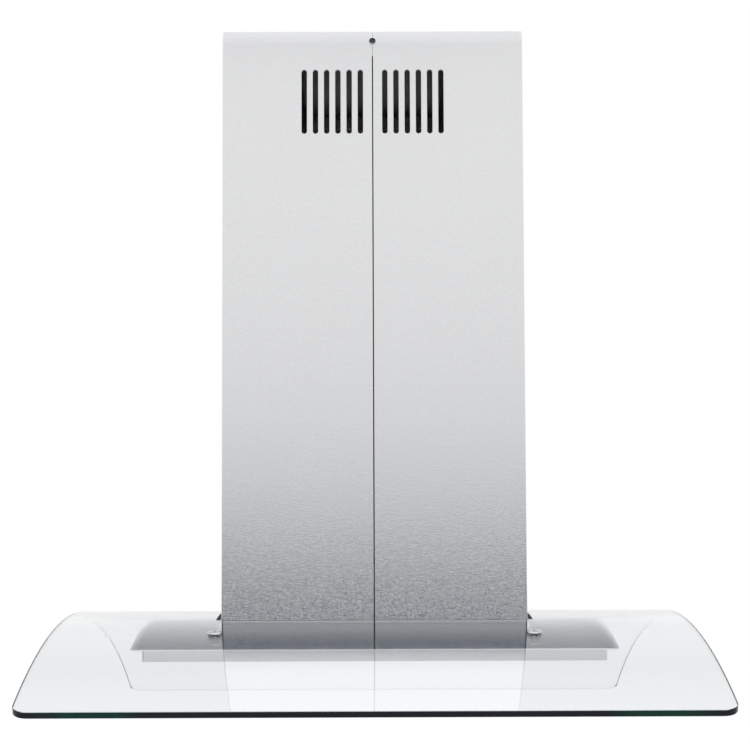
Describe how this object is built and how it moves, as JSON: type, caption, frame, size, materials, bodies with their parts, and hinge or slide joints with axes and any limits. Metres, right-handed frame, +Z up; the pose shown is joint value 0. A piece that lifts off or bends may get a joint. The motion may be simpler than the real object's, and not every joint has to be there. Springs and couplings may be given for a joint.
{
  "type": "curved glass range hood",
  "caption": "Ceiling-hung island range hood: an arched glass canopy over a slim steel body with push buttons, lamps and grease filters, and a telescoping box chimney over the blower.",
  "frame": {"origin": "middle of the ceiling plate's top face, in the plane of the ceiling", "axes": "+Z up, +X along the glass canopy's long side, -Y towards the push buttons"},
  "size_m": [0.9, 0.6, 0.6585],
  "materials": {
    "glass": "clear, with polished green edges",
    "brushed_steel": "brushed",
    "polished_steel": "polished",
    "galvanised_steel": "galvanised",
    "aluminium": "satin",
    "rubber": "matte",
    "black_plastic": "matte",
    "grey_plastic": "matte",
    "lamp_lens": "frosted",
    "circuit_board": "lacquered"
  },
  "bodies": {
    "ceiling_frame": {"ceiling_plate": "galvanised_steel", "upper_frame_right": "galvanised_steel", "upper_frame_left": "galvanised_steel", "upper_chimney_front": "brushed_steel", "upper_chimney_rear": "brushed_steel", "air_deflector": "black_plastic"},
    "hood": {"glass_canopy": "glass", "glass_screw_1": "polished_steel", "glass_screw_2": "polished_steel", "glass_screw_3": "polished_steel", "glass_screw_4": "polished_steel", "glass_washer_1": "rubber", "glass_washer_2": "rubber", "glass_washer_3": "rubber", "glass_washer_4": "rubber", "chimney_front": "brushed_steel", "chimney_rear": "brushed_steel", "seam_tab_right": "brushed_steel", "seam_tab_left": "brushed_steel", "top_plate": "brushed_steel", "body_shell": "brushed_steel", "front_fascia": "brushed_steel", "bottom_pan": "brushed_steel", "lamp_housing_1": "polished_steel", "lamp_housing_2": "polished_steel", "lamp_housing_3": "polished_steel", "lamp_housing_4": "polished_steel", "lamp_lens_1": "lamp_lens", "lamp_lens_2": "lamp_lens", "lamp_lens_3": "lamp_lens", "lamp_lens_4": "lamp_lens", "control_trim": "polished_steel", "switch_board": "circuit_board", "lamp_driver": "black_plastic", "blower_case": "galvanised_steel", "scroll_right": "grey_plastic", "scroll_left": "grey_plastic", "motor": "galvanised_steel", "motor_bracket": "galvanised_steel", "motor_capacitor": "aluminium", "outlet_collar": "black_plastic", "flap_pin": "polished_steel", "junction_box": "grey_plastic", "cable_gland": "black_plastic", "lower_frame_right": "galvanised_steel", "lower_frame_left": "galvanised_steel"},
    "fan": {"fan_wheel": "black_plastic", "motor_shaft": "polished_steel"},
    "rear_flap": {"flap_rear": "grey_plastic"},
    "front_flap": {"flap_front": "grey_plastic"},
    "left_filter": {"grease_filter_left": "aluminium"},
    "right_filter": {"grease_filter_right": "aluminium"},
    "left_latch": {"filter_latch_left": "black_plastic"},
    "right_latch": {"filter_latch_right": "black_plastic"},
    "push_button_1": {"button_1": "polished_steel"},
    "push_button_2": {"button_2": "polished_steel"},
    "push_button_3": {"button_3": "polished_steel"},
    "push_button_4": {"button_4": "polished_steel"},
    "push_button_5": {"button_5": "polished_steel"}
  },
  "joints": [
    {"name": "height_slide", "type": "slide", "parent": "ceiling_frame", "child": "hood", "axis": [0, 0, -1], "range_m": [0, 0.3]},
    {"name": "fan_spin", "type": "hinge", "parent": "hood", "child": "fan", "pos_m": [0, -0.01, -0.466], "axis": [1, 0, 0], "continuous": true},
    {"name": "rear_flap_swing", "type": "hinge", "parent": "hood", "child": "rear_flap", "pos_m": [0, 0, -0.317], "axis": [1, 0, 0], "range_deg": [0, 75]},
    {"name": "front_flap_swing", "type": "hinge", "parent": "hood", "child": "front_flap", "pos_m": [0, 0, -0.317], "axis": [-1, 0, 0], "range_deg": [0, 75]},
    {"name": "left_filter_swing", "type": "hinge", "parent": "hood", "child": "left_filter", "pos_m": [-0.098, 0.1545, -0.6148], "axis": [1, 0, 0], "range_deg": [0, 90]},
    {"name": "right_filter_swing", "type": "hinge", "parent": "hood", "child": "right_filter", "pos_m": [0.098, 0.1545, -0.6148], "axis": [1, 0, 0], "range_deg": [0, 90]},
    {"name": "left_latch_slide", "type": "slide", "parent": "left_filter", "child": "left_latch", "axis": [0, 1, 0], "range_m": [0, 0.008], "stiffness_N_per_m": 300, "springref_m": -0.004},
    {"name": "right_latch_slide", "type": "slide", "parent": "right_filter", "child": "right_latch", "axis": [0, 1, 0], "range_m": [0, 0.008], "stiffness_N_per_m": 300, "springref_m": -0.004},
    {"name": "button_1_press", "type": "slide", "parent": "hood", "child": "push_button_1", "axis": [0, 1, 0], "range_m": [0, 0.002], "stiffness_N_per_m": 600, "springref_m": -0.001},
    {"name": "button_2_press", "type": "slide", "parent": "hood", "child": "push_button_2", "axis": [0, 1, 0], "range_m": [0, 0.002], "stiffness_N_per_m": 600, "springref_m": -0.001},
    {"name": "button_3_press", "type": "slide", "parent": "hood", "child": "push_button_3", "axis": [0, 1, 0], "range_m": [0, 0.002], "stiffness_N_per_m": 600, "springref_m": -0.001},
    {"name": "button_4_press", "type": "slide", "parent": "hood", "child": "push_button_4", "axis": [0, 1, 0], "range_m": [0, 0.002], "stiffness_N_per_m": 600, "springref_m": -0.001},
    {"name": "button_5_press", "type": "slide", "parent": "hood", "child": "push_button_5", "axis": [0, 1, 0], "range_m": [0, 0.002], "stiffness_N_per_m": 600, "springref_m": -0.001}
  ]
}
